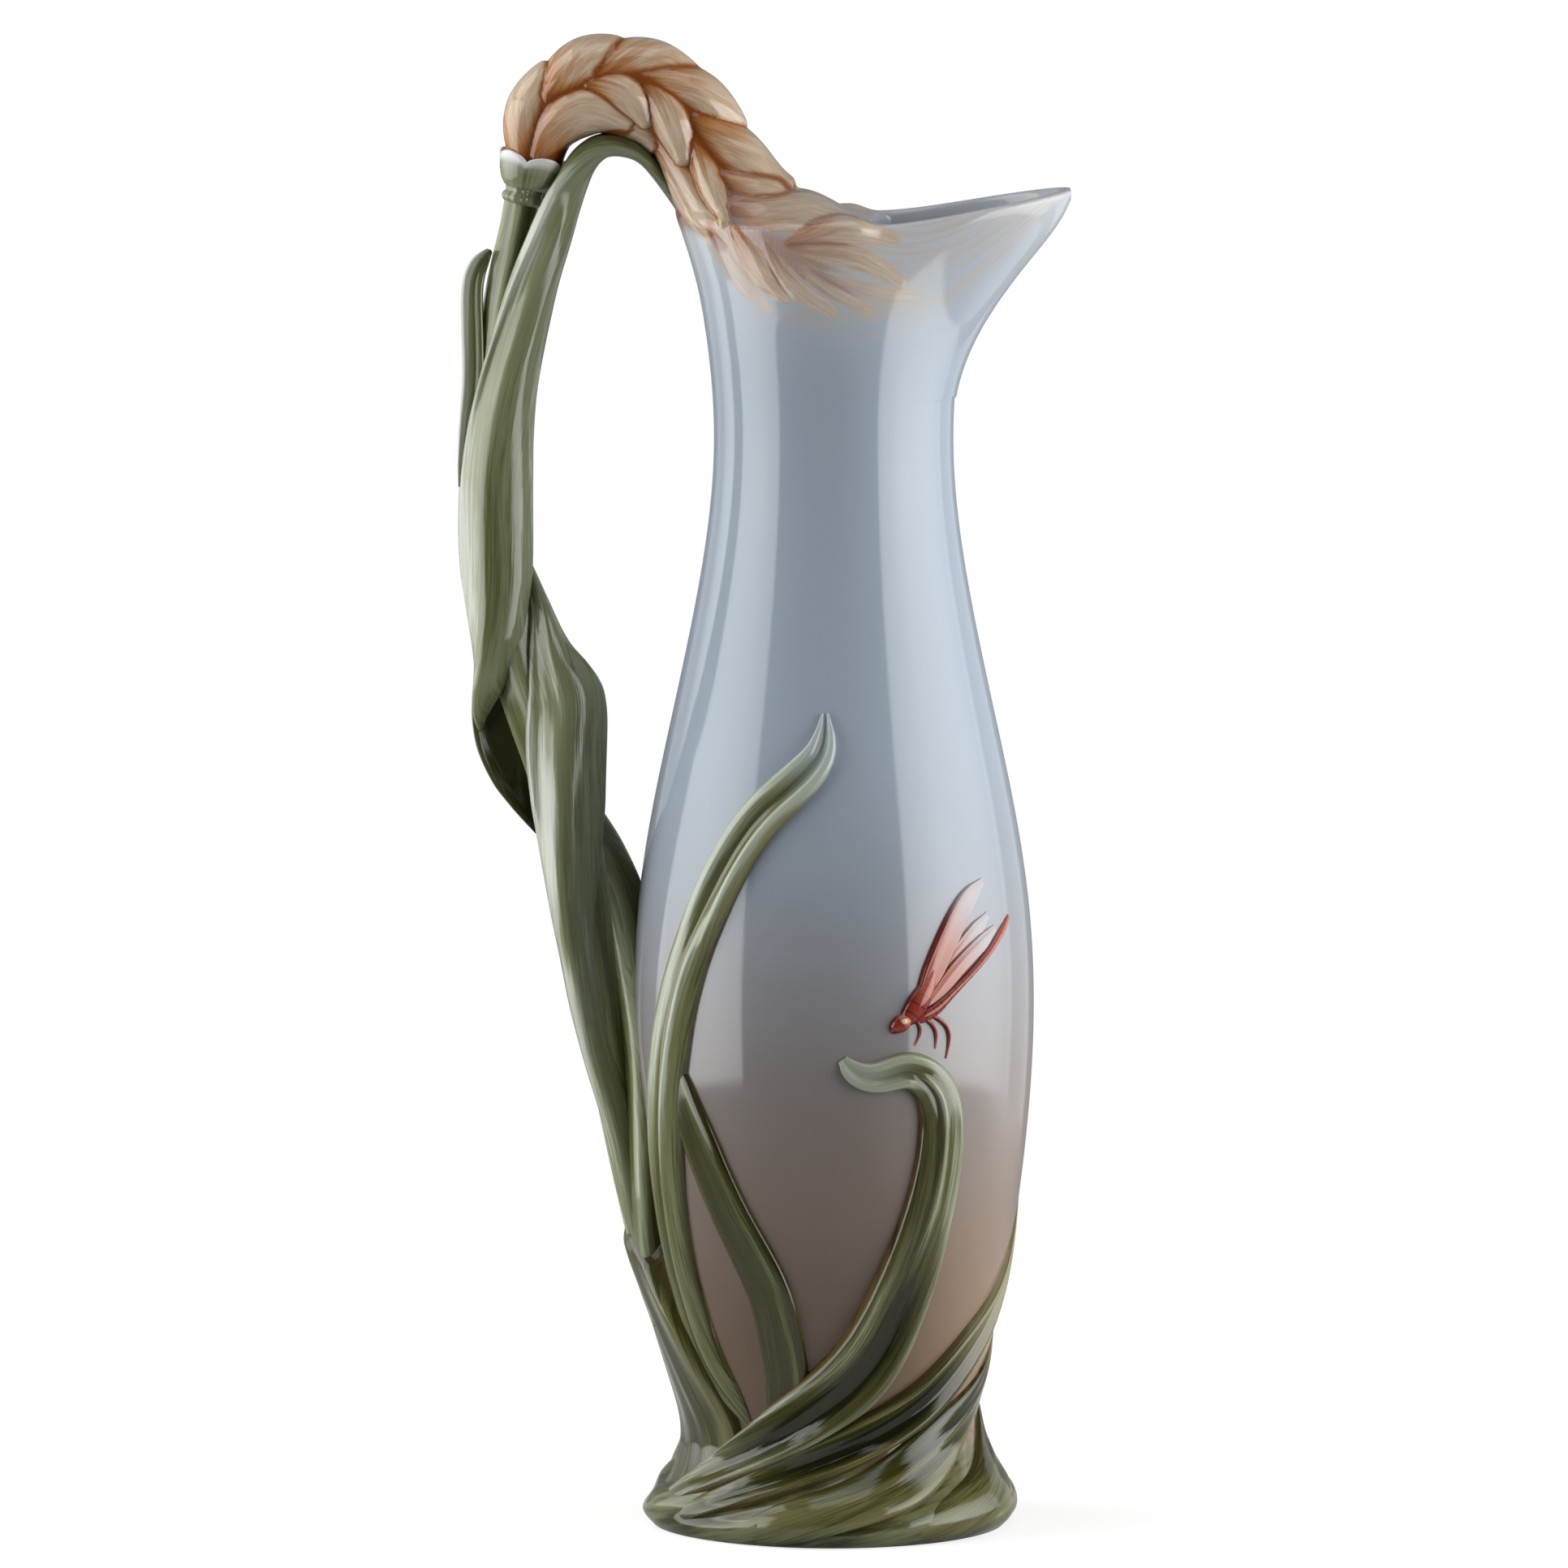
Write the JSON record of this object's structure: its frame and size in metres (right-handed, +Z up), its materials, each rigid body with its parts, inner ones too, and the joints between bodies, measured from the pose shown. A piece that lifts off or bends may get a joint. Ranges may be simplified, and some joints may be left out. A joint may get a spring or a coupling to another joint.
{
  "type": "jug vase",
  "caption": "Tall glazed porcelain jug vase with a flared spout, a leafy stem handle that ends in an arching ear of grain, and leaf blades and a dragonfly in relief.",
  "frame": {"origin": "on the ground, under the middle of the object's box", "axes": "+Z up, +X from the handle towards the spout, -Y towards the decorated front"},
  "size_m": [0.183, 0.1234, 0.4544],
  "materials": {
    "pale_blue_glaze": "glossy clear glaze",
    "straw_glaze": "glossy clear glaze",
    "pale_straw_glaze": "glossy clear glaze",
    "leaf_green_glaze": "glossy clear glaze",
    "pale_green_glaze": "glossy clear glaze",
    "deep_green_glaze": "glossy clear glaze",
    "red_glaze": "glossy clear glaze",
    "pale_pink_glaze": "glossy clear glaze"
  },
  "bodies": {
    "root": {"calyx": "pale_green_glaze", "cross_blade": "deep_green_glaze", "curled_blade": "pale_green_glaze", "dragonfly_abdomen": "red_glaze", "dragonfly_fore_wing": "pale_pink_glaze", "dragonfly_head": "red_glaze", "dragonfly_hind_wing": "pale_pink_glaze", "dragonfly_leg_1": "red_glaze", "dragonfly_leg_2": "red_glaze", "dragonfly_leg_3": "red_glaze", "dragonfly_mid_wing": "pale_pink_glaze", "dragonfly_thorax": "red_glaze", "ear_core": "straw_glaze", "foot_leaf_1": "leaf_green_glaze", "foot_leaf_2": "leaf_green_glaze", "foot_leaf_3": "leaf_green_glaze", "foot_leaf_4": "leaf_green_glaze", "foot_leaf_5": "leaf_green_glaze", "grain_front_collar_1": "pale_straw_glaze", "grain_front_collar_2": "pale_straw_glaze", "grain_front_collar_3": "pale_straw_glaze", "grain_front_inner_1": "straw_glaze", "grain_front_inner_2": "straw_glaze", "grain_front_inner_3": "straw_glaze", "grain_front_inner_4": "straw_glaze", "grain_front_inner_5": "pale_straw_glaze", "grain_front_outer_1": "straw_glaze", "grain_front_outer_2": "straw_glaze", "grain_front_outer_3": "straw_glaze", "grain_front_outer_4": "straw_glaze", "grain_front_outer_5": "pale_straw_glaze", "grain_front_outer_6": "pale_straw_glaze", "grain_rear_collar_1": "pale_straw_glaze", "grain_rear_collar_2": "pale_straw_glaze", "grain_rear_collar_3": "pale_straw_glaze", "grain_rear_inner_1": "straw_glaze", "grain_rear_inner_2": "straw_glaze", "grain_rear_inner_3": "straw_glaze", "grain_rear_inner_4": "straw_glaze", "grain_rear_inner_5": "pale_straw_glaze", "grain_rear_outer_1": "straw_glaze", "grain_rear_outer_2": "straw_glaze", "grain_rear_outer_3": "straw_glaze", "grain_rear_outer_4": "straw_glaze", "grain_rear_outer_5": "pale_straw_glaze", "grain_rear_outer_6": "pale_straw_glaze", "handle_spur": "deep_green_glaze", "handle_stem": "leaf_green_glaze", "leaf_tail": "deep_green_glaze", "lower_leaf": "leaf_green_glaze", "outer_leaf": "pale_green_glaze", "rear_blade": "pale_green_glaze", "rear_cross_blade": "deep_green_glaze", "sheath_leaf": "leaf_green_glaze", "stem_node": "pale_green_glaze", "tall_blade": "pale_green_glaze", "upper_leaf": "pale_green_glaze", "vessel_body": "pale_blue_glaze", "wrapping_blade": "pale_green_glaze"}
  },
  "joints": []
}
